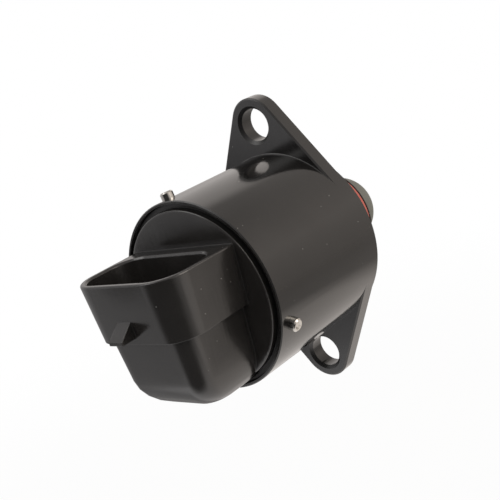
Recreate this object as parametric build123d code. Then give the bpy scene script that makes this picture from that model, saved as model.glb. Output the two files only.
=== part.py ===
from build123d import *
import os
from math import cos, radians, sin, tan

# Idle air control valve: a stepper motor in a flanged can drives a pintle in and out.
# The axis is Y. The mounting face is y = 0, the pintle points to +Y, the connector is
# on the -Y end, the two bolt ears lie along Z and the plug goes in from +Z.

# Clearances
FIT = 0.05
RUN = 0.03
SEAT = 0.02
GAP = 0.3

# Housing can and flange
BODY_R = 18.0
BODY_L = 29.6
RIM_WALL = 0.55
CAN_WALL = 1.6
FRONT_WALL = 2.5
RIM_CHAMFER = 0.2
FLANGE_T = 3.3
FLANGE_EDGE = 0.3
BOLT_SPACING = 47.6
BOLT_HOLE_R = 3.2
EAR_R = 5.3
HOLE_CHAMFER = 0.6

# Pilot spigot and its O-ring
PILOT_R = 9.8
PILOT_L = 11.4
PILOT_CHAMFER = 0.4
O_RING_SECTION = 2.6
O_RING_PROUD = 0.6
O_RING_SETBACK = 2.1
GROOVE_PLAY = 0.2

# Rear cap
DISC_GROOVE = 1.05
DISC_PROUD = 0.5
DISC_T = 2.6
DISC_ROUND = 0.3
SHOULDER_DEPTH = 1.0
SHOULDER_L = 4.3
SEAL_T = 0.8
SPIGOT_L = 1.6
SPIGOT_WALL = 1.8

# Retaining pins
PIN_R = 1.2
PIN_COUNT = 3
PIN_START = 98.8
PIN_SETBACK = 1.8
PIN_PROUD = 1.3
PIN_DEPTH = 1.6
PIN_CHAMFER = 0.25
PIN_DIMPLE_R = 0.7
PIN_DIMPLE_DEPTH = 0.2

# Connector socket: mouth section, draft and levels
MOUTH_HALF_X = 12.6
MOUTH_HALF_Y = 7.5
MOUTH_ROUND = 5.8
MOUTH_Z = 9.5
MOUTH_TO_DISC = 1.6
SOCKET_WALL = 1.2
SOCKET_DRAFT = 4.5
SOCKET_FLOOR_Z = 0.5
STEP_Z = -1.3
LIP_ROUND = 0.35

# Elbow block under the socket
ELBOW_INSET_X = 1.6
ELBOW_INSET_Y = 1.3
ELBOW_DRAFT = 4.2
ELBOW_DEPTH = 14.8
ELBOW_CORNER = 3.3
ELBOW_ROUND_Z = 6.5
ELBOW_ROUND_REAR = 7.0
ELBOW_ROUND_SIDE = 4.4
ELBOW_STEPS = 6

# Latch ramp on the socket
LATCH_X = -1.0
LATCH_W = 3.4
LATCH_H = 2.9
LATCH_LAND = 0.6
LATCH_PROUD = 3.2
LATCH_RISE = 1.3

# Connector terminals
TERMINAL_COUNT = 4
TERMINAL_PITCH = 4.6
TERMINAL_W = 1.5
TERMINAL_T = 0.8
TERMINAL_RECESS = 3.0
TERMINAL_TAIL_Z = -8.0
TERMINAL_TAIL = 1.6

# Stator: two coils in claw-pole cups
SHEET = 0.8
POLE_R = 8.0
CLAWS = 6
CLAW_ROOT = 3.4
CLAW_TIP = 1.8
CLAW_GAP = 0.6
BOBBIN_WALL = 0.6
WIRE_MARGIN = 0.5

# Rotor and its bearings
AIR_GAP = 0.4
MAGNET_END_GAP = 1.0
HUB_R = 4.5
JOURNAL_R = 3.5
REAR_JOURNAL_R = 3.0
NUT_L = 8.0
BEARING_W = 4.0
TRACK_DEPTH = 0.3
BALL_COUNT = 7
BUSH_T = 1.4
BUSH_L = 4.0
BOSS_WALL = 1.5
WASHER_T = 0.5

# Lead screw, its guide, the pintle and the spring
SCREW_R = 2.0
SCREW_FLAT = 1.6
SCREW_REST = 4.3
GUIDE_R = 5.5
GUIDE_FLANGE_R = 7.6
GUIDE_FLANGE_T = 1.6
PINTLE_R = 6.8
PINTLE_GAP = 1.5
PINTLE_L = 7.1
PINTLE_ROUND = 5.0
PINTLE_CUP_R = 5.6
PINTLE_CUP_DEPTH = 3.2
SCREW_SOCKET = 2.2
SPRING_R = 4.6
SPRING_WIRE_R = 0.35
SPRING_HALF_TURNS = 7

# Axial stations, counted from the mounting face
rim_y = -BODY_L
disc_y = rim_y - DISC_PROUD
disc_inner_y = disc_y + DISC_T
shoulder_y = rim_y + SHOULDER_DEPTH
seal_y = shoulder_y + SHOULDER_L
cap_seat_y = seal_y + SEAL_T
stack_rear = cap_seat_y + SPIGOT_L
stack_front = -FRONT_WALL
stack_middle = (stack_front + stack_rear) / 2
coil_l = stack_front - stack_middle
pin_y = shoulder_y + PIN_SETBACK
bearing_front = stack_front + BEARING_W
o_ring_y = PILOT_L - O_RING_SETBACK
pintle_back = PILOT_L + PINTLE_GAP
pintle_tip = pintle_back + PINTLE_L
cup_floor_y = pintle_back + PINTLE_CUP_DEPTH
screw_front = cup_floor_y + SCREW_SOCKET
screw_rear = stack_rear + SCREW_REST

# Radii that follow from the seats
rim_bore = BODY_R - RIM_WALL
can_bore = BODY_R - CAN_WALL
cap_r = rim_bore - FIT
disc_r = rim_bore - DISC_GROOVE
cup_r = can_bore - FIT
magnet_r = POLE_R - AIR_GAP
bush_r = REAR_JOURNAL_R + RUN + BUSH_T
boss_bore = bush_r + SEAT
groove_r = PILOT_R + O_RING_PROUD - O_RING_SECTION

# Bearing: the front stator cup backs its outer race
bearing_r = POLE_R + SHEET
race_t = (bearing_r - JOURNAL_R) / 3
ball_r = race_t / 2 + TRACK_DEPTH
ball_track_r = (JOURNAL_R + bearing_r) / 2

# Connector levels and walls
mouth_rear_y = disc_y - MOUTH_TO_DISC - 2 * MOUTH_HALF_Y
mouth_middle_y = mouth_rear_y + MOUTH_HALF_Y
socket_inset = (MOUTH_Z - STEP_Z) * tan(radians(SOCKET_DRAFT))
step_rear_y = mouth_rear_y + socket_inset
elbow_rear_y = step_rear_y + ELBOW_INSET_Y
elbow_half_x = MOUTH_HALF_X - socket_inset - ELBOW_INSET_X
cap_root_y = disc_y + DISC_T / 2


def turned(*profile):
    """Solid turned about the valve's axis from (radius, y) corners."""
    return revolve(make_face(Polyline(*profile, close=True)), Axis.Y)


def ring(inner, outer, y_a, y_b):
    """Plain ring, or a disc where the inner radius is 0."""
    return turned((inner, y_a), (outer, y_a), (outer, y_b), (inner, y_b))


def around(solid, count, start=0.0):
    """Copies of a solid evenly spaced about the axis, counted from +X towards +Z."""
    return [solid.rotate(Axis.Y, -(start + i * 360 / count)) for i in range(count)]


def side_prism(profile, half_width, x=0.0):
    """Prism across X from (y, z) corners."""
    face = Plane.YZ * make_face(Polyline(*profile, close=True))
    return Pos(x, 0, 0) * extrude(face, half_width, both=True)


def plan_section(half_x, y_rear, y_front, z, corner):
    """Section in plan that is square at the front and rounded at its two rear corners."""
    face = Rectangle(2 * half_x, y_front - y_rear)
    face = fillet(face.vertices().sort_by(Axis.Y)[:2], corner)
    return Pos(0, (y_rear + y_front) / 2, z) * face


def mouth_section(z, inset):
    """Section of the socket at a level, drawn in from the mouth by an inset."""
    half_x = MOUTH_HALF_X - inset
    half_y = MOUTH_HALF_Y - inset
    return Pos(0, mouth_middle_y, z) * RectangleRounded(2 * half_x, 2 * half_y, MOUTH_ROUND - inset)


def double_d(radius, flat, y_a, y_b):
    """Round bar with two flats, which face +X and -X."""
    bar = ring(0, radius, y_a, y_b)
    return bar & Pos(0, (y_a + y_b) / 2, 0) * Box(2 * flat, y_b - y_a, 2 * radius)


def pin_bar(radius, inner, outer):
    """Radial bar along +X at the pins' station."""
    bar = Plane.YZ * Circle(radius)
    return Pos(inner, pin_y, 0) * extrude(bar, outer - inner)


def flange_outline(y, inset):
    """Outline that runs from the can's circle in straight tangents to the two ears."""
    circles = [Circle(BODY_R - inset)]
    for side in (1, -1):
        circles.append(Pos(0, side * BOLT_SPACING / 2) * Circle(EAR_R - inset))
    outline = make_hull([edge for circle in circles for edge in circle.edges()])
    return Pos(0, y, 0) * (Plane.XZ * outline)


def housing():
    can = ring(0, BODY_R, rim_y, 0)
    can = chamfer(can.edges().sort_by(Axis.Y)[0], RIM_CHAMFER)
    flange = loft(
        [
            flange_outline(0, FLANGE_EDGE),
            flange_outline(-FLANGE_EDGE, 0),
            flange_outline(FLANGE_EDGE - FLANGE_T, 0),
            flange_outline(-FLANGE_T, FLANGE_EDGE),
        ],
        ruled=True,
    )
    pilot = turned(
        (0, 0),
        (PILOT_R, 0),
        (PILOT_R, PILOT_L - PILOT_CHAMFER),
        (PILOT_R - PILOT_CHAMFER, PILOT_L),
        (0, PILOT_L),
    )
    body = can + flange + pilot
    half_groove = O_RING_SECTION / 2 + GROOVE_PLAY
    body -= ring(groove_r - SEAT, PILOT_R + FIT, o_ring_y - half_groove, o_ring_y + half_groove)
    body -= turned(
        (0, rim_y),
        (rim_bore, rim_y),
        (rim_bore, cap_seat_y),
        (can_bore, cap_seat_y),
        (can_bore, stack_front),
        (bearing_r + SEAT, stack_front),
        (bearing_r + SEAT, bearing_front),
        (GUIDE_R + FIT, bearing_front),
        (GUIDE_R + FIT, PILOT_L - GUIDE_FLANGE_T),
        (GUIDE_FLANGE_R + FIT, PILOT_L - GUIDE_FLANGE_T),
        (GUIDE_FLANGE_R + FIT, PILOT_L),
        (0, PILOT_L),
    )
    countersunk = turned(
        (0, 0),
        (BOLT_HOLE_R, 0),
        (BOLT_HOLE_R, -FLANGE_T + HOLE_CHAMFER),
        (BOLT_HOLE_R + HOLE_CHAMFER, -FLANGE_T),
        (0, -FLANGE_T),
    )
    for side in (1, -1):
        body -= Pos(0, 0, side * BOLT_SPACING / 2) * countersunk
    for hole in around(pin_bar(PIN_R + SEAT, can_bore, BODY_R + PIN_PROUD), PIN_COUNT, PIN_START):
        body -= hole
    return body


def socket():
    """Drafted socket, its neck to the disc and the latch ramp on its rear wall."""
    shell = loft([mouth_section(MOUTH_Z, 0), mouth_section(STEP_Z, socket_inset)], ruled=True)
    neck_rear = mouth_middle_y + MOUTH_HALF_Y - MOUTH_ROUND
    neck = loft(
        [
            Pos(0, (neck_rear + cap_root_y) / 2, z) * Rectangle(2 * half_x, cap_root_y - neck_rear)
            for z, half_x in ((MOUTH_Z, MOUTH_HALF_X), (STEP_Z, MOUTH_HALF_X - socket_inset))
        ],
        ruled=True,
    )
    block = shell + neck
    block = fillet(block.edges().group_by(Axis.Z)[-1], LIP_ROUND)
    slope = socket_inset / (MOUTH_Z - STEP_Z)
    low = STEP_Z + LATCH_RISE
    low_y = step_rear_y - slope * LATCH_RISE
    high = low + LATCH_H
    high_y = low_y - slope * LATCH_H
    latch = side_prism(
        [
            (low_y + SOCKET_WALL, low),
            (low_y - LATCH_PROUD, low),
            (low_y - LATCH_PROUD, low + LATCH_LAND),
            (high_y, high),
            (high_y + SOCKET_WALL, high),
        ],
        LATCH_W / 2,
        LATCH_X,
    )
    return block + latch


def elbow():
    """Block that turns the terminals from the socket into the motor, rounded underneath."""
    levels = [(0.0, 0.0)]
    for i in range(ELBOW_STEPS + 1):
        turn = radians(90 * i / ELBOW_STEPS)
        levels.append((ELBOW_DEPTH - ELBOW_ROUND_Z * (1 - sin(turn)), 1 - cos(turn)))
    sections = []
    for depth, drawn_in in levels:
        draft = depth * tan(radians(ELBOW_DRAFT))
        rear = elbow_rear_y + draft + ELBOW_ROUND_REAR * drawn_in
        half_x = elbow_half_x - draft - ELBOW_ROUND_SIDE * drawn_in
        sections.append(plan_section(half_x, rear, cap_root_y, STEP_Z - depth, ELBOW_CORNER))
    return loft(sections, ruled=True)


def terminal(x):
    """Flat blade that stands in the socket and turns through the elbow into the motor."""
    half = TERMINAL_T / 2
    tip_z = MOUTH_Z - TERMINAL_RECESS
    tail_y = disc_inner_y + TERMINAL_TAIL
    profile = [
        (mouth_middle_y - half, tip_z),
        (mouth_middle_y + half, tip_z),
        (mouth_middle_y + half, TERMINAL_TAIL_Z + half),
        (tail_y, TERMINAL_TAIL_Z + half),
        (tail_y, TERMINAL_TAIL_Z - half),
        (mouth_middle_y - half, TERMINAL_TAIL_Z - half),
    ]
    return side_prism(profile, TERMINAL_W / 2, x)


def rear_cap(terminals):
    disc = ring(0, disc_r, disc_y, disc_inner_y)
    disc = fillet(disc.edges().sort_by(Axis.Y)[0], DISC_ROUND)
    skirt = turned(
        (disc_r - SPIGOT_WALL, disc_inner_y),
        (disc_r - SPIGOT_WALL, shoulder_y),
        (cap_r, shoulder_y),
        (cap_r, seal_y),
        (cup_r, seal_y),
        (cup_r, stack_rear),
        (cup_r - SPIGOT_WALL, stack_rear),
        (cup_r - SPIGOT_WALL, disc_inner_y),
    )
    boss = ring(boss_bore, boss_bore + BOSS_WALL, disc_inner_y, disc_inner_y + BUSH_L)
    cap = disc + skirt + boss + elbow() + socket()
    cavity = loft(
        [
            mouth_section(MOUTH_Z, SOCKET_WALL - LIP_ROUND),
            mouth_section(MOUTH_Z - LIP_ROUND, SOCKET_WALL),
            mouth_section(SOCKET_FLOOR_Z, SOCKET_WALL + socket_inset),
        ],
        ruled=True,
    )
    cap -= cavity
    for blade in terminals:
        cap -= blade
    for hole in around(pin_bar(PIN_R + SEAT, cap_r - PIN_DEPTH, BODY_R), PIN_COUNT, PIN_START):
        cap -= hole
    return cap


def retaining_pins():
    """Drive pins that stand out of the can, with a chamfered and dished end."""
    outer = BODY_R + PIN_PROUD
    pin = pin_bar(PIN_R, cap_r - PIN_DEPTH + SEAT, outer)
    pin = chamfer(pin.edges().group_by(Axis.X)[-1], PIN_CHAMFER)
    dimple = Cone(PIN_DIMPLE_R / 2, PIN_DIMPLE_R, PIN_DIMPLE_DEPTH)
    pin -= Pos(outer - PIN_DIMPLE_DEPTH / 2, pin_y, 0) * Rot(0, 90, 0) * dimple
    return Compound(around(pin, PIN_COUNT, PIN_START))


def claws(y_root, length, start):
    """Tapered claw poles bent along the axis from a plate at y_root."""
    profile = [
        (y_root, -CLAW_ROOT / 2),
        (y_root, CLAW_ROOT / 2),
        (y_root + length, CLAW_TIP / 2),
        (y_root + length, -CLAW_TIP / 2),
    ]
    outer = POLE_R + SHEET
    wedge = extrude(Plane.YZ * make_face(Polyline(*profile, close=True)), outer)
    claw = wedge & ring(POLE_R, outer, y_root, y_root + length)
    return around(claw, CLAWS, start)


def coil(outer_y, start):
    """One coil: stator cup, inner pole plate, bobbin and winding, in that order."""
    inward = 1 if stack_middle > outer_y else -1
    claw_l = inward * (coil_l - SHEET - CLAW_GAP)
    plate_bore = POLE_R + SHEET / 2
    cup = ring(plate_bore, cup_r, outer_y, outer_y + inward * SHEET)
    cup += ring(cup_r - SHEET, cup_r, outer_y, stack_middle)
    cup += claws(outer_y, claw_l, start)
    plate_r = cup_r - SHEET - FIT
    plate = ring(plate_bore, plate_r, stack_middle - inward * SHEET, stack_middle)
    plate += claws(stack_middle, -claw_l, start + 180 / CLAWS)
    near = outer_y + inward * (SHEET + FIT)
    far = stack_middle - inward * (SHEET + FIT)
    core = POLE_R + SHEET + FIT
    barrel = core + BOBBIN_WALL
    near_in = near + inward * BOBBIN_WALL
    far_in = far - inward * BOBBIN_WALL
    spool_r = plate_r - FIT
    bobbin = turned(
        (core, near),
        (spool_r, near),
        (spool_r, near_in),
        (barrel, near_in),
        (barrel, far_in),
        (spool_r, far_in),
        (spool_r, far),
        (core, far),
    )
    winding = ring(
        barrel + FIT,
        spool_r - WIRE_MARGIN,
        near_in + inward * FIT,
        far_in - inward * FIT,
    )
    return cup, plate, bobbin, winding


def rotor_hub():
    """Hub with bearing journals at both ends and the nut that drives the lead screw."""
    shoulder_rear = stack_rear + MAGNET_END_GAP
    washer_y = disc_inner_y + BUSH_L + WASHER_T + 2 * FIT
    nut_bore = SCREW_R + FIT
    relief = (nut_bore + REAR_JOURNAL_R) / 2
    return turned(
        (nut_bore, bearing_front - FIT),
        (JOURNAL_R, bearing_front - FIT),
        (JOURNAL_R, stack_front),
        (HUB_R, stack_front),
        (HUB_R, min(shoulder_rear, washer_y)),
        (REAR_JOURNAL_R, min(shoulder_rear, washer_y)),
        (REAR_JOURNAL_R, disc_inner_y + GAP),
        (relief, disc_inner_y + GAP),
        (relief, stack_front - NUT_L),
        (nut_bore, stack_front - NUT_L),
    )


def race(inner, outer):
    """Bearing ring with the ball track cut in it."""
    track = revolve(Pos(ball_track_r, (stack_front + bearing_front) / 2) * Circle(ball_r + RUN), Axis.Y)
    return ring(inner, outer, stack_front, bearing_front) - track


def bearing_balls():
    ball = Pos(ball_track_r, (stack_front + bearing_front) / 2, 0) * Sphere(ball_r)
    return Compound(around(ball, BALL_COUNT))


def screw_guide():
    """Flanged bush whose two flats keep the lead screw from turning."""
    rear = bearing_front + GAP
    bush = ring(0, GUIDE_R, rear, PILOT_L - GUIDE_FLANGE_T)
    bush += ring(0, GUIDE_FLANGE_R, PILOT_L - GUIDE_FLANGE_T, PILOT_L)
    return bush - double_d(SCREW_R + FIT, SCREW_FLAT + FIT, rear, PILOT_L)


def pintle():
    """Bullet-nosed valve head, cupped behind for the spring and bored for the screw."""
    start = pintle_tip - PINTLE_ROUND
    flat = PINTLE_R - PINTLE_ROUND
    swell = PINTLE_ROUND * cos(radians(45))
    outline = [
        Line((PINTLE_CUP_R, pintle_back), (PINTLE_R, pintle_back)),
        Line((PINTLE_R, pintle_back), (PINTLE_R, start)),
        ThreePointArc((PINTLE_R, start), (flat + swell, start + swell), (flat, pintle_tip)),
        Polyline(
            (flat, pintle_tip),
            (0, pintle_tip),
            (0, cup_floor_y),
            (PINTLE_CUP_R, cup_floor_y),
            (PINTLE_CUP_R, pintle_back),
        ),
    ]
    head = revolve(make_face([e for part in outline for e in part.edges()]), Axis.Y)
    return head - double_d(SCREW_R + SEAT, SCREW_FLAT + SEAT, cup_floor_y, screw_front + SEAT)


def pintle_spring():
    """Compression spring between the guide and the pintle's cup, in rising half turns."""
    y_a = PILOT_L + SPRING_WIRE_R + SEAT
    y_b = cup_floor_y - SPRING_WIRE_R - SEAT
    rise = (y_b - y_a) / SPRING_HALF_TURNS
    wire = None
    for i in range(SPRING_HALF_TURNS):
        side = 1 if i % 2 == 0 else -1
        start = Plane((side * SPRING_R, y_a + i * rise, 0)) * Circle(SPRING_WIRE_R)
        axis = Axis((0, y_a + (i + 0.5) * rise, 0), (-side * rise, -2 * SPRING_R, 0))
        half_turn = revolve(start, axis, 180)
        wire = half_turn if wire is None else wire + half_turn
    return wire


def build():
    first = -TERMINAL_PITCH * (TERMINAL_COUNT - 1) / 2
    terminals = [terminal(first + i * TERMINAL_PITCH) for i in range(TERMINAL_COUNT)]
    front_cup, front_plate, front_bobbin, front_winding = coil(stack_front, 0.0)
    rear_cup, rear_plate, rear_bobbin, rear_winding = coil(stack_rear, 90 / CLAWS)
    hub = rotor_hub()
    boss_end = disc_inner_y + BUSH_L
    o_ring = revolve(Pos(groove_r + O_RING_SECTION / 2, o_ring_y) * Circle(O_RING_SECTION / 2), Axis.Y)
    parts = {
        "housing": housing(),
        "rear_cap": rear_cap(terminals),
        "cap_seal": ring(can_bore, cap_r, seal_y, cap_seat_y),
        "retaining_pins": retaining_pins(),
        "o_ring": o_ring,
        "front_stator_cup": front_cup,
        "front_pole_plate": front_plate,
        "front_bobbin": front_bobbin,
        "front_winding": front_winding,
        "rear_stator_cup": rear_cup,
        "rear_pole_plate": rear_plate,
        "rear_bobbin": rear_bobbin,
        "rear_winding": rear_winding,
        "rotor_magnet": ring(
            HUB_R + SEAT, magnet_r, stack_front - MAGNET_END_GAP, stack_rear + MAGNET_END_GAP
        ),
        "rotor_hub": hub,
        "bearing_outer_race": race(bearing_r - race_t, bearing_r),
        "bearing_inner_race": race(JOURNAL_R + SEAT, JOURNAL_R + race_t),
        "bearing_balls": bearing_balls(),
        "rear_bush": ring(REAR_JOURNAL_R + RUN, bush_r, disc_inner_y, boss_end),
        "thrust_washer": ring(
            REAR_JOURNAL_R + FIT, boss_bore + BOSS_WALL, boss_end, boss_end + WASHER_T
        ),
        "lead_screw": double_d(SCREW_R, SCREW_FLAT, screw_rear, screw_front),
        "screw_guide": screw_guide(),
        "pintle_spring": pintle_spring(),
        "pintle": pintle(),
    }
    for i, blade in enumerate(terminals):
        parts[f"terminal_{i + 1}"] = blade
    return parts


os.makedirs("parts", exist_ok=True)
for node, solid in build().items():
    export_step(solid, f"parts/{node}.step")
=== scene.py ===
import math

import bpy
from mathutils import Matrix, Vector


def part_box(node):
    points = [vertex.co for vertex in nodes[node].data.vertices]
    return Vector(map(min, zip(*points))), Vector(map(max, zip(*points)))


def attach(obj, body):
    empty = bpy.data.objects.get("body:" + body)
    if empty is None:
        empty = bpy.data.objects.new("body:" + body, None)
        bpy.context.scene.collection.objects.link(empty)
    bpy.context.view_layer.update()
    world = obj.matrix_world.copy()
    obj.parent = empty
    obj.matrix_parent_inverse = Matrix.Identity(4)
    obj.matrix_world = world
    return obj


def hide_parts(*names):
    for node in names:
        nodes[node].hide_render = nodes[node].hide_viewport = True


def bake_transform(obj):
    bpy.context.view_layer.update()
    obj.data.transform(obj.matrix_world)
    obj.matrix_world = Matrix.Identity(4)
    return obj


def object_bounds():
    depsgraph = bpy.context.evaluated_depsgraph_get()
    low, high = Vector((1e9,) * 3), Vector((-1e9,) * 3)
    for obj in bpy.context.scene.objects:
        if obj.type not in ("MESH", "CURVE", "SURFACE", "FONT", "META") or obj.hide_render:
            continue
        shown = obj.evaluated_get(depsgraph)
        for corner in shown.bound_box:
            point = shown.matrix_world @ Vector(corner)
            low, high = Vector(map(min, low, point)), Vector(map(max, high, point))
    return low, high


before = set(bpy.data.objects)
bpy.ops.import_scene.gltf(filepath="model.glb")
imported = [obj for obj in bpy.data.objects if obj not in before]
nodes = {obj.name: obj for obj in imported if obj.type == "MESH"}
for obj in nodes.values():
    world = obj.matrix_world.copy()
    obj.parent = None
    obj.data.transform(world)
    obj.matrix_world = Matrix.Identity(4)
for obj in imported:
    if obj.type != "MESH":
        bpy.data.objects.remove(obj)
cad_low, cad_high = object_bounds()

# Camera of the photo: place in metres and the directions of its axes
CAMERA_PLACE = (0.1202058, -0.1330755, 0.0424808)
CAMERA_RIGHT = (0.718554, 0.6266528, -0.3016396)
CAMERA_UP = (0.0631553, 0.3731331, 0.9256258)
CAMERA_BACK = (0.6925977, -0.6841622, 0.2285399)
CAMERA_LENS = 66.969
CAMERA_SENSOR = 36.0
CAMERA_CLIP = (0.005, 20.0)

# Floor, and the share of its own shade that it keeps near the object
FLOOR_DROP = 0.045
FLOOR_SIZE = 6.0
FLOOR_COLOUR = (0.86, 0.86, 0.86)
SHADOW_SHARE = 0.08
SHADOW_REACH = (0.12, 0.3)

# Light on matt surfaces: the sky and two softboxes
DIFFUSE_SKY = 0.62
LAMP_TARGET = (0.0, -0.01, 0.0)
LAMP_SIZE = 0.35
KEY_PLACE = (-0.25, -0.3, 0.45)
KEY_POWER = 0.75
KEY_COLOUR = (1.0, 0.985, 0.965)
FILL_PLACE = (0.45, 0.15, 0.3)
FILL_POWER = 1.2
FILL_COLOUR = (1.0, 0.92, 0.83)

# Studio as glossy surfaces see it: tint from one side to the other, (height of the direction,
# brightness), and patches of (direction, cosine at their edge, cosine where full, brightness)
STUDIO_MIDDLE = (0.0, -0.025, 0.0)
STUDIO_COOL = (1.0, 0.978, 0.985)
STUDIO_WARM = (1.0, 0.91, 0.835)
STUDIO_WARM_SIDE = (0.5, 0.866, 0.0)
STUDIO_TURN = (-0.6, 0.9)
STUDIO_LEVELS = (
    (-0.6, 1.0),
    (-0.5, 0.43),
    (-0.33, 0.44),
    (-0.2, 0.54),
    (0.0, 0.63),
    (0.24, 0.75),
    (0.47, 0.65),
    (0.62, 0.56),
    (0.72, 0.47),
    (1.0, 0.6),
)
STUDIO_PATCHES = (
    ((-0.538, 0.689, 0.485), 0.905, 0.975, 1.0),
    ((0.903, 0.259, -0.342), 0.93, 0.985, 1.0),
    ((-0.745, -0.642, -0.178), 0.993, 0.998, 0.06),
    ((0.34, -0.93, -0.14), 0.5, 0.8, 0.03),
    ((-0.4, -0.74, 0.54), 0.82, 0.94, 0.1),
    ((-0.74, 0.03, -0.67), 0.85, 0.93, 0.35),
)
WHITE = (1.0, 1.0, 1.0)

# Surfaces: patches and grain of the noise, and how far they change colour, roughness and height
NOISE_ROUGH = 0.55
NOISE_RANGE = (0.3, 0.7)
PATCH_DETAIL = 3.0
PATCH_RANGE = (0.35, 0.68)
PATCH_SHARE = 0.55
PATCH_HEIGHT = 0.6
GRAIN_DETAIL = 2.0
GRAIN_ROUGH = 0.03
GRAIN_HEIGHT = 0.4
BUMP_DEPTH = 0.0002

# Surfaces: scuffed edges, rounded edges, and dust
EDGE_REACH = 0.00025
EDGE_SAMPLES = 6
SCUFF_LEAST = 0.3
SCUFF_GAIN = 1.6
SCUFF_LIFT = 0.02
ROUND_SAMPLES = 8
DUST_SCALE = 520.0
DUST_SIZE = (0.0275, 0.055)
DUST_COLOUR = (0.3, 0.29, 0.27)
DUST_ROUGH = 0.4

# Surfaces: a normal's share along the valve's axis on chamfers and on faces square to it, painted
# shade in crevices (colour darkened where other faces stand near), and draw marks of a mould
CHAMFER_TURN = (0.3, 0.6)
FACE_TURN = (0.8, 0.95)
CREVICE_SAMPLES = 8
CREVICE_RANGE = (0.3, 0.75)
# Painted shade: share of the base colour left where crevices are darkened
CREVICE_SHADE_TONE = 0.25
CREVICE_ROUGH = 0.3
STREAK_STRETCH = (1.0, 1.0, 0.04)
STREAK_SCALE = 1500.0
STREAK_DETAIL = 4.0

# Meshes: largest turn that is shaded smooth, and the weld of the CAD faces
SMOOTH_ANGLE = math.radians(28)
WELD = 1e-6

# Spring
SPRING_WIRE = 0.00035
SPRING_TURNS = 3.5
SPRING_STEPS = 40
SPRING_SIDES = 14
PINTLE_STROKE = 0.008

# Thread of the lead screw
THREAD_LEAD = 0.001
THREAD_DEPTH = 0.00035
THREAD_STEPS = 10
THREAD_SIDES = 48
THREAD_SLOPE = 1.6
THREAD_CREST = 0.3

# Cove at the root of the upper ear
CAN_R = 0.018
FLANGE_REAR = -0.0033
COVE_R = 0.00022
COVE_SUNK = 0.00005
COVE_MIDDLE = math.radians(90)
COVE_SWING = math.radians(52)
COVE_TAPER = math.radians(10)
COVE_END = 0.1
COVE_STEPS = 72
COVE_SIDES = 6


def rgba(colour):
    return (*colour, 1.0)


def feed(tree, socket, value):
    """Links a socket of another node, or sets a number or colour."""
    if isinstance(value, bpy.types.NodeSocket):
        tree.links.new(value, socket)
    else:
        socket.default_value = value


def add(tree, kind, **inputs):
    """New node with its inputs, by name with _ for a space, or by number after a _."""
    node = tree.nodes.new(kind)
    for name, value in inputs.items():
        key = int(name[1:]) if name[0] == "_" else name.replace("_", " ")
        feed(tree, node.inputs[key], value)
    return node


def maths(tree, operation, a, b=0.0, clamp=False):
    node = add(tree, "ShaderNodeMath", _0=a, _1=b)
    node.operation = operation
    node.use_clamp = clamp
    return node.outputs[0]


def vectors(tree, operation, a, b=(0.0, 0.0, 0.0)):
    node = add(tree, "ShaderNodeVectorMath", _0=a, _1=b)
    node.operation = operation
    return node


def spread(tree, value, low, high, to_low, to_high, smooth=False):
    """Maps a range of a number to another range, and holds it at the ends."""
    node = add(
        tree,
        "ShaderNodeMapRange",
        Value=value,
        From_Min=low,
        From_Max=high,
        To_Min=to_low,
        To_Max=to_high,
    )
    if smooth:
        node.interpolation_type = "SMOOTHSTEP"
    return node.outputs[0]


def mix_colours(tree, factor, first, second):
    node = tree.nodes.new("ShaderNodeMix")
    node.data_type = "RGBA"
    for index, value in ((0, factor), (6, first), (7, second)):
        feed(tree, node.inputs[index], value)
    return node.outputs[2]


def mix_numbers(tree, factor, first, second):
    step = maths(tree, "SUBTRACT", second, first)
    return maths(tree, "ADD", first, maths(tree, "MULTIPLY", factor, step))


def noise(tree, place, scale, detail):
    node = add(
        tree, "ShaderNodeTexNoise", Vector=place, Scale=scale, Detail=detail, Roughness=NOISE_ROUGH
    )
    return node.outputs[0]


def edge_mask(tree, gain):
    """White along convex and concave edges, from the turn of a rounded normal."""
    rounded = add(tree, "ShaderNodeBevel", Radius=EDGE_REACH)
    rounded.samples = EDGE_SAMPLES
    plain = tree.nodes.new("ShaderNodeNewGeometry")
    dot = vectors(tree, "DOT_PRODUCT", rounded.outputs[0], plain.outputs["Normal"])
    away = maths(tree, "SUBTRACT", 1.0, dot.outputs["Value"])
    return maths(tree, "MULTIPLY", away, gain, clamp=True)


def specks(tree, place, share):
    """Sparse dust: small dots in a random share of the cells."""
    cells = add(tree, "ShaderNodeTexVoronoi", Vector=place, Scale=DUST_SCALE)
    dot = spread(tree, cells.outputs["Distance"], *DUST_SIZE, 1.0, 0.0)
    chosen = add(tree, "ShaderNodeSeparateColor", Color=cells.outputs["Color"])
    keep = maths(tree, "LESS_THAN", chosen.outputs[0], share)
    return maths(tree, "MULTIPLY", dot, keep)


def turned_rough(tree, normal, chamfer_rough, face_rough):
    """Extra roughness on chamfers and on faces square to the valve's axis."""
    along = add(tree, "ShaderNodeSeparateXYZ", Vector=normal).outputs["Y"]
    turn = maths(tree, "ABSOLUTE", along)
    sloped = spread(tree, turn, *CHAMFER_TURN, 0.0, chamfer_rough)
    square = spread(tree, turn, *FACE_TURN, 0.0, face_rough - chamfer_rough)
    return maths(tree, "ADD", sloped, square)


def crevice_shade_mask(tree, reach):
    """White where other faces stand near: the mask of painted shade in crevices, and of their
    extra roughness.
    """
    shade = add(tree, "ShaderNodeAmbientOcclusion", Distance=reach)
    shade.samples = CREVICE_SAMPLES
    return spread(tree, shade.outputs["AO"], *CREVICE_RANGE, 1.0, 0.0)


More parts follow.
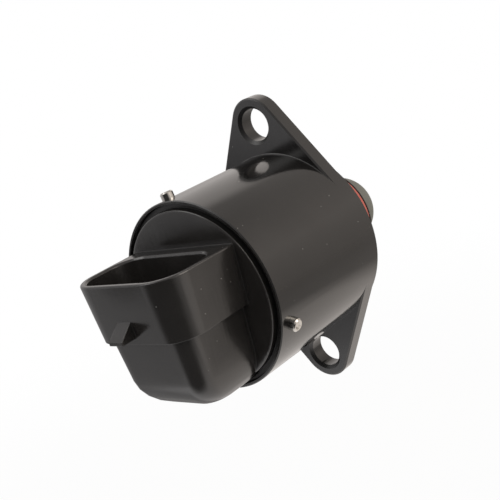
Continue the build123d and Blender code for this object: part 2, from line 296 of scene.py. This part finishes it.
def finish_material(
    name,
    base,
    worn,
    rough,
    metallic=0.0,
    ior=1.5,
    patch=180.0,
    grain=2600.0,
    bump=0.06,
    edge_gain=1.2,
    stretch=None,
    dust=0.0,
    chamfer_rough=0.0,
    face_rough=0.0,
    crevice_shade_reach=0.0,
    streak=0.0,
    rounded=0.0,
):
    """Material with patchy colour, grain in roughness and bump, and lighter edges. Optional: dust,
    duller chamfers and square faces, painted shade in crevices, draw marks along Z, rounded edges."""
    made = bpy.data.materials.new(name)
    made.use_nodes = True
    tree = made.node_tree
    shader = tree.nodes["Principled BSDF"]
    coordinates = tree.nodes.new("ShaderNodeTexCoord")
    place = coordinates.outputs["Object"]
    if stretch:
        place = add(tree, "ShaderNodeMapping", Vector=place, Scale=stretch).outputs[0]
    wide = noise(tree, place, patch, PATCH_DETAIL)
    fine = noise(tree, place, grain, GRAIN_DETAIL)

    tone = spread(tree, wide, *PATCH_RANGE, 0.0, PATCH_SHARE)
    colour = mix_colours(tree, tone, rgba(base), rgba(worn))
    broken = spread(tree, fine, *NOISE_RANGE, SCUFF_LEAST, 1.0)
    scuffed = maths(tree, "MULTIPLY", edge_mask(tree, edge_gain), broken)
    bare = [min(1.0, SCUFF_GAIN * c + SCUFF_LIFT) for c in worn]
    colour = mix_colours(tree, scuffed, colour, rgba(bare))
    grained = spread(tree, fine, *NOISE_RANGE, -GRAIN_ROUGH, GRAIN_ROUGH)
    roughness = maths(tree, "ADD", spread(tree, wide, *NOISE_RANGE, *rough), grained)

    if dust:
        dots = specks(tree, place, dust)
        colour = mix_colours(tree, dots, colour, rgba(DUST_COLOUR))
        roughness = maths(tree, "ADD", roughness, maths(tree, "MULTIPLY", dots, DUST_ROUGH))
    if chamfer_rough or face_rough:
        dull = turned_rough(tree, coordinates.outputs["Normal"], chamfer_rough, face_rough)
        roughness = maths(tree, "ADD", roughness, dull)
    # Painted shade: colour darkened where other faces stand near (ambient occlusion), and rougher
    # there
    if crevice_shade_reach:
        painted_crevice_shade = crevice_shade_mask(tree, crevice_shade_reach)
        colour = mix_colours(tree, painted_crevice_shade, colour, rgba([CREVICE_SHADE_TONE * c for c in base]))
        roughness = maths(tree, "ADD", roughness, maths(tree, "MULTIPLY", painted_crevice_shade, CREVICE_ROUGH))

    height = maths(
        tree,
        "ADD",
        maths(tree, "MULTIPLY", wide, PATCH_HEIGHT),
        maths(tree, "MULTIPLY", fine, GRAIN_HEIGHT),
    )
    if streak:
        drawn = add(tree, "ShaderNodeMapping", Vector=place, Scale=STREAK_STRETCH).outputs[0]
        marks = noise(tree, drawn, STREAK_SCALE, STREAK_DETAIL)
        height = maths(tree, "ADD", height, maths(tree, "MULTIPLY", marks, streak))
    rise = add(tree, "ShaderNodeBump", Strength=bump, Distance=BUMP_DEPTH, Height=height)
    if rounded:
        soft = add(tree, "ShaderNodeBevel", Radius=rounded)
        soft.samples = ROUND_SAMPLES
        feed(tree, rise.inputs["Normal"], soft.outputs[0])

    feed(tree, shader.inputs["Metallic"], metallic)
    feed(tree, shader.inputs["IOR"], ior)
    feed(tree, shader.inputs["Base Color"], colour)
    feed(tree, shader.inputs["Roughness"], roughness)
    feed(tree, shader.inputs["Normal"], rise.outputs[0])
    return made


# Finishes: colour, worn colour, range of roughness
PAINT = finish_material(
    "black_coating", (0.0088, 0.0082, 0.0078), (0.0125, 0.0116, 0.011), (0.09, 0.14),
    ior=1.75, bump=0.02, dust=0.4, chamfer_rough=0.28, face_rough=0.06,
)
PLASTIC = finish_material(
    "black_plastic", (0.0148, 0.0134, 0.0124), (0.02, 0.018, 0.0166), (0.18, 0.25),
    ior=1.68, grain=3600.0, edge_gain=0.4, dust=0.4, crevice_shade_reach=0.002, streak=0.8, rounded=0.0002,
)
STEEL = finish_material(
    "bright_steel", (0.55, 0.53, 0.5), (0.72, 0.7, 0.66), (0.16, 0.28),
    metallic=1.0, patch=700.0, bump=0.05,
)
RED_RUBBER = finish_material(
    "red_rubber", (0.48, 0.09, 0.06), (0.58, 0.15, 0.11), (0.35, 0.5), bump=0.08
)
DARK_RUBBER = finish_material(
    "dark_rubber", (0.018, 0.018, 0.018), (0.03, 0.03, 0.03), (0.55, 0.7)
)
PINTLE = finish_material(
    "grey_pintle", (0.135, 0.134, 0.113), (0.175, 0.174, 0.15), (0.5, 0.62),
    grain=3000.0, bump=0.14,
)
GUIDE = finish_material(
    "guide_plastic", (0.03, 0.03, 0.03), (0.05, 0.05, 0.048), (0.42, 0.55), bump=0.1
)
PLATED = finish_material(
    "plated_steel", (0.42, 0.42, 0.41), (0.58, 0.58, 0.57), (0.28, 0.4),
    metallic=1.0, patch=400.0,
)
BOBBIN = finish_material("bobbin_plastic", (0.6, 0.58, 0.5), (0.7, 0.68, 0.6), (0.45, 0.6))
COPPER = finish_material(
    "copper_wire", (0.5, 0.2, 0.09), (0.66, 0.29, 0.14), (0.25, 0.38),
    metallic=1.0, stretch=(1.0, 6.0, 1.0),
)
FERRITE = finish_material(
    "ferrite", (0.05, 0.05, 0.055), (0.09, 0.09, 0.095), (0.5, 0.65), grain=4200.0, bump=0.18
)
HUB = finish_material("hub_plastic", (0.06, 0.06, 0.06), (0.09, 0.09, 0.09), (0.45, 0.6))
BEARING = finish_material(
    "ground_steel", (0.55, 0.55, 0.55), (0.7, 0.7, 0.7), (0.14, 0.22), metallic=1.0
)
BRONZE = finish_material(
    "bronze", (0.4, 0.24, 0.1), (0.52, 0.34, 0.16), (0.35, 0.5),
    metallic=1.0, grain=4200.0, bump=0.14,
)
TINNED = finish_material(
    "tinned_brass", (0.52, 0.5, 0.45), (0.64, 0.6, 0.5), (0.24, 0.36), metallic=1.0
)
WIRE = finish_material(
    "spring_wire", (0.36, 0.36, 0.35), (0.5, 0.5, 0.49), (0.25, 0.36),
    metallic=1.0, patch=900.0,
)

FINISH = {
    "housing": PAINT,
    "rear_cap": PLASTIC,
    "cap_seal": DARK_RUBBER,
    "retaining_pins": STEEL,
    "o_ring": RED_RUBBER,
    "front_stator_cup": PLATED,
    "front_pole_plate": PLATED,
    "front_bobbin": BOBBIN,
    "front_winding": COPPER,
    "rear_stator_cup": PLATED,
    "rear_pole_plate": PLATED,
    "rear_bobbin": BOBBIN,
    "rear_winding": COPPER,
    "rotor_magnet": FERRITE,
    "rotor_hub": HUB,
    "bearing_outer_race": BEARING,
    "bearing_inner_race": BEARING,
    "bearing_balls": BEARING,
    "rear_bush": BRONZE,
    "thrust_washer": PLATED,
    "lead_screw": STEEL,
    "screw_guide": GUIDE,
    "pintle_spring": WIRE,
    "pintle": PINTLE,
    "terminal_1": TINNED,
    "terminal_2": TINNED,
    "terminal_3": TINNED,
    "terminal_4": TINNED,
}


def smoothing_group():
    """Welds the CAD faces of a mesh and smooths all but its sharp edges."""
    group = bpy.data.node_groups.new("weld_and_smooth", "GeometryNodeTree")
    group.interface.new_socket("Geometry", in_out="INPUT", socket_type="NodeSocketGeometry")
    group.interface.new_socket("Geometry", in_out="OUTPUT", socket_type="NodeSocketGeometry")
    start = group.nodes.new("NodeGroupInput")
    end = group.nodes.new("NodeGroupOutput")
    weld = add(group, "GeometryNodeMergeByDistance", Geometry=start.outputs[0], Distance=WELD)
    whole = add(group, "GeometryNodeSetShadeSmooth", Geometry=weld.outputs[0])
    whole.domain = "FACE"
    angle = group.nodes.new("GeometryNodeInputMeshEdgeAngle")
    gentle = group.nodes.new("FunctionNodeCompare")
    gentle.data_type = "FLOAT"
    gentle.operation = "LESS_EQUAL"
    feed(group, gentle.inputs[0], angle.outputs[0])
    feed(group, gentle.inputs[1], SMOOTH_ANGLE)
    sharp = add(group, "GeometryNodeSetShadeSmooth", Geometry=whole.outputs[0])
    sharp.domain = "EDGE"
    feed(group, sharp.inputs["Shade Smooth"], gentle.outputs[0])
    feed(group, end.inputs[0], sharp.outputs[0])
    return group


SMOOTH = smoothing_group()
for name, piece in nodes.items():
    piece.data.materials.clear()
    piece.data.materials.append(FINISH[name])
    piece.modifiers.new("smooth", "NODES").node_group = SMOOTH


def placed(name, data):
    """New object in the scene."""
    obj = bpy.data.objects.new(name, data)
    bpy.context.scene.collection.objects.link(obj)
    return obj


def rows_mesh(name, rows, material):
    """Closed mesh through rings of points, capped at both ends."""
    count = len(rows[0])
    points = [point for row in rows for point in row]
    faces = []
    for i in range(len(rows) - 1):
        a, b = i * count, (i + 1) * count
        for j in range(count):
            k = (j + 1) % count
            faces.append((a + j, a + k, b + k, b + j))
    last = (len(rows) - 1) * count
    faces.append(tuple(reversed(range(count))))
    faces.append(tuple(last + j for j in range(count)))
    mesh = bpy.data.meshes.new(name)
    mesh.from_pydata(points, [], faces)
    mesh.materials.append(material)
    obj = placed(name, mesh)
    obj.modifiers.new("smooth", "NODES").node_group = SMOOTH
    return obj


def coil_spring():
    """Spring with closed ends, between the guide and the pintle's cup. Its wire is flatter where
    the coils open most, so that it is round at the end of the pintle's stroke."""
    low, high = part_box("pintle_spring")
    length = high[1] - low[1]
    radius = (high[0] - low[0]) / 2 - SPRING_WIRE
    start, end = low[1] + SPRING_WIRE, high[1] - SPRING_WIRE
    count = round(SPRING_TURNS * SPRING_STEPS)
    rows = []
    for i in range(count + 1):
        share = i / count
        eased = share * share * (3 - 2 * share)
        y = start + (end - start) * (share + eased) / 2
        # Local stretch at full stroke, from the slope of the blend's smooth step
        along = (y - low[1]) / length
        opening = 1 + 6 * along * (1 - along) * PINTLE_STROKE / length
        turn = 2 * math.pi * SPRING_TURNS * share
        out = Vector((math.cos(turn), 0.0, math.sin(turn)))
        ring = []
        for j in range(SPRING_SIDES):
            around = 2 * math.pi * j / SPRING_SIDES
            side = out * (radius + SPRING_WIRE * math.cos(around))
            ring.append((side.x, y + SPRING_WIRE / opening * math.sin(around), side.z))
        rows.append(ring)
    spring = rows_mesh("coil_spring", rows, WIRE)
    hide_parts("pintle_spring")
    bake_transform(spring)


def threaded_screw():
    """Lead screw with a rolled thread and its two flats."""
    low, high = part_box("lead_screw")
    radius, flat = high[2], high[0]
    count = round((high[1] - low[1]) / THREAD_LEAD * THREAD_STEPS)
    rows = []
    for i in range(count + 1):
        y = low[1] + (high[1] - low[1]) * i / count
        ring = []
        for j in range(THREAD_SIDES):
            turn = 2 * math.pi * j / THREAD_SIDES
            phase = (y / THREAD_LEAD + j / THREAD_SIDES) % 1.0
            cut = min(1.0, max(0.0, THREAD_SLOPE * abs(2 * phase - 1) - THREAD_CREST))
            r = radius - THREAD_DEPTH * cut
            x = max(-flat, min(flat, r * math.cos(turn)))
            ring.append((x, y, r * math.sin(turn)))
        rows.append(ring)
    screw = rows_mesh("threaded_screw", rows, STEEL)
    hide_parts("lead_screw")
    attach(screw, "pintle")


def root_cove():
    """Small cove where the upper ear's rear face meets the can, thinner towards its ends."""
    inner, front = CAN_R - COVE_SUNK, FLANGE_REAR + COVE_SUNK
    rows = []
    for i in range(COVE_STEPS + 1):
        swing = COVE_SWING * (2 * i / COVE_STEPS - 1)
        turn = COVE_MIDDLE + swing
        size = COVE_R * min(1.0, (COVE_SWING - abs(swing)) / COVE_TAPER + COVE_END)
        section = [(inner, front), (inner, FLANGE_REAR - size)]
        for j in range(COVE_SIDES + 1):
            bend = math.pi / 2 * j / COVE_SIDES
            out = CAN_R + size * (1 - math.cos(bend))
            section.append((out, FLANGE_REAR - size * (1 - math.sin(bend))))
        section.append((CAN_R + size, front))
        rows.append([(r * math.cos(turn), y, r * math.sin(turn)) for r, y in section])
    fillet = rows_mesh("upper_root_fillet", rows, PAINT)
    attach(fillet, "housing")


coil_spring()
threaded_screw()
root_cove()


def studio_level(tree, direction):
    """Brightness of the studio in a direction, as glossy surfaces see it."""
    height = add(tree, "ShaderNodeSeparateXYZ", Vector=direction).outputs["Z"]
    level = STUDIO_LEVELS[0][1]
    for (low, before), (high, after) in zip(STUDIO_LEVELS, STUDIO_LEVELS[1:]):
        rise = spread(tree, height, low, high, 0.0, after - before)
        level = maths(tree, "ADD", rise, level)
    for towards, edge, full, brightness in STUDIO_PATCHES:
        facing = vectors(tree, "DOT_PRODUCT", direction, towards).outputs["Value"]
        inside = spread(tree, facing, edge, full, 0.0, 1.0, smooth=True)
        level = mix_numbers(tree, inside, level, brightness)
    return level


def studio_view(tree, direction):
    """Rays that see the white studio, its brightness and its colour: pure white straight on."""
    path = tree.nodes.new("ShaderNodeLightPath").outputs
    straight = maths(tree, "MAXIMUM", path["Is Camera Ray"], path["Is Transmission Ray"])
    seen = maths(tree, "MAXIMUM", straight, path["Is Glossy Ray"])
    level = mix_numbers(tree, straight, studio_level(tree, direction), 1.0)
    side = vectors(tree, "DOT_PRODUCT", direction, STUDIO_WARM_SIDE).outputs["Value"]
    warmth = spread(tree, side, *STUDIO_TURN, 0.0, 1.0)
    tint = mix_colours(tree, warmth, rgba(STUDIO_COOL), rgba(STUDIO_WARM))
    return seen, level, mix_colours(tree, straight, tint, rgba(WHITE))


def floor_material():
    """Matt pale floor that is part of the white studio, with a faint shadow near the object."""
    made = bpy.data.materials.new("pale_floor")
    made.use_nodes = True
    tree = made.node_tree
    tree.nodes.clear()
    matt = add(tree, "ShaderNodeBsdfDiffuse", Color=rgba(FLOOR_COLOUR))
    spot = tree.nodes.new("ShaderNodeNewGeometry").outputs["Position"]
    outward = vectors(tree, "SUBTRACT", spot, STUDIO_MIDDLE).outputs[0]
    seen, level, colour = studio_view(tree, vectors(tree, "NORMALIZE", outward).outputs[0])
    white = add(tree, "ShaderNodeEmission", Color=colour, Strength=level)
    distance = vectors(tree, "LENGTH", outward).outputs["Value"]
    shown = spread(tree, distance, *SHADOW_REACH, 1.0 - SHADOW_SHARE, 1.0, smooth=True)
    factor = maths(tree, "MULTIPLY", seen, shown)
    mixed = add(tree, "ShaderNodeMixShader", _0=factor, _1=matt.outputs[0], _2=white.outputs[0])
    add(tree, "ShaderNodeOutputMaterial", Surface=mixed.outputs[0])
    return made


def make_floor():
    half = FLOOR_SIZE / 2
    z = cad_low.z - FLOOR_DROP
    mesh = bpy.data.meshes.new("floor")
    corners = [(-half, -half, z), (half, -half, z), (half, half, z), (-half, half, z)]
    mesh.from_pydata(corners, [], [(0, 1, 2, 3)])
    mesh.materials.append(floor_material())
    floor = placed("floor", mesh)


def make_surroundings():
    world = bpy.data.worlds.new("white_studio")
    bpy.context.scene.world = world
    world.use_nodes = True
    tree = world.node_tree
    tree.nodes.clear()
    direction = tree.nodes.new("ShaderNodeTexCoord").outputs["Generated"]
    seen, level, colour = studio_view(tree, direction)
    sky = add(
        tree,
        "ShaderNodeBackground",
        Color=mix_colours(tree, seen, rgba(WHITE), colour),
        Strength=mix_numbers(tree, seen, DIFFUSE_SKY, level),
    )
    add(tree, "ShaderNodeOutputWorld", Surface=sky.outputs[0])


def softbox(name, place, power, colour):
    lamp = bpy.data.lights.new(name, "AREA")
    lamp.shape = "SQUARE"
    lamp.size = LAMP_SIZE
    lamp.energy = power
    lamp.color = colour
    obj = placed(name, lamp)
    obj.location = place
    obj.rotation_mode = "QUATERNION"
    obj.rotation_quaternion = (Vector(LAMP_TARGET) - Vector(place)).to_track_quat("-Z", "Y")
    obj.visible_camera = False


def make_camera():
    lens = bpy.data.cameras.new("camera")
    lens.sensor_fit = "HORIZONTAL"
    lens.sensor_width = CAMERA_SENSOR
    lens.lens = CAMERA_LENS
    lens.clip_start, lens.clip_end = CAMERA_CLIP
    camera = placed("camera", lens)
    axes = Matrix((CAMERA_RIGHT, CAMERA_UP, CAMERA_BACK)).transposed().to_4x4()
    camera.matrix_world = Matrix.Translation(CAMERA_PLACE) @ axes
    bpy.context.scene.camera = camera


make_floor()
make_surroundings()
softbox("key", KEY_PLACE, KEY_POWER, KEY_COLOUR)
softbox("fill", FILL_PLACE, FILL_POWER, FILL_COLOUR)
make_camera()
bpy.context.scene.view_settings.view_transform = "Standard"
